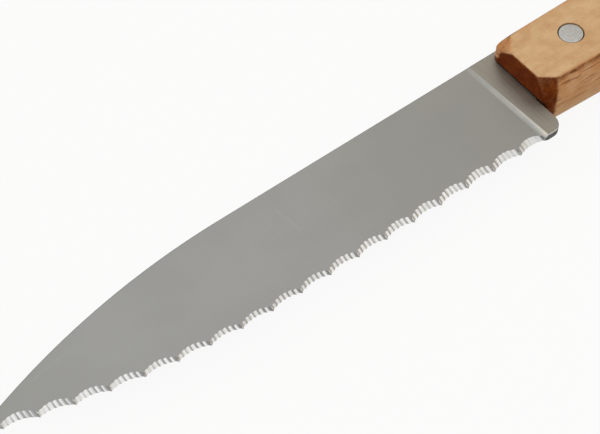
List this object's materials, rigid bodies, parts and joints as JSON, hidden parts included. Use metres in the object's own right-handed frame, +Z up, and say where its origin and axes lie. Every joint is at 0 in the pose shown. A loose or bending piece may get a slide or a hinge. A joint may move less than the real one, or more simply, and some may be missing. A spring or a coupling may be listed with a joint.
{
  "type": "serrated paring knife",
  "caption": "Kitchen paring knife with a thin pointed blade, a scalloped and fluted cutting edge, and a riveted one-piece wooden handle with faceted front corners.",
  "frame": {"origin": "under the middle of the outer box, in the plane of the handle's lower side face, on which the knife lies", "axes": "+X from the blade's tip to the handle's butt, +Y from the cutting edge to the spine, +Z up through the thickness"},
  "size_m": [0.196, 0.0178, 0.01],
  "materials": {
    "blade_steel": "satin-ground stainless steel with bright serrations",
    "handle_wood": "sanded and oiled beech, darker on the end grain",
    "rivet_aluminium": "sanded flush with the wood"
  },
  "bodies": {
    "root": {"blade": "blade_steel", "handle": "handle_wood", "front_rivet": "rivet_aluminium", "rear_rivet": "rivet_aluminium"}
  },
  "joints": []
}
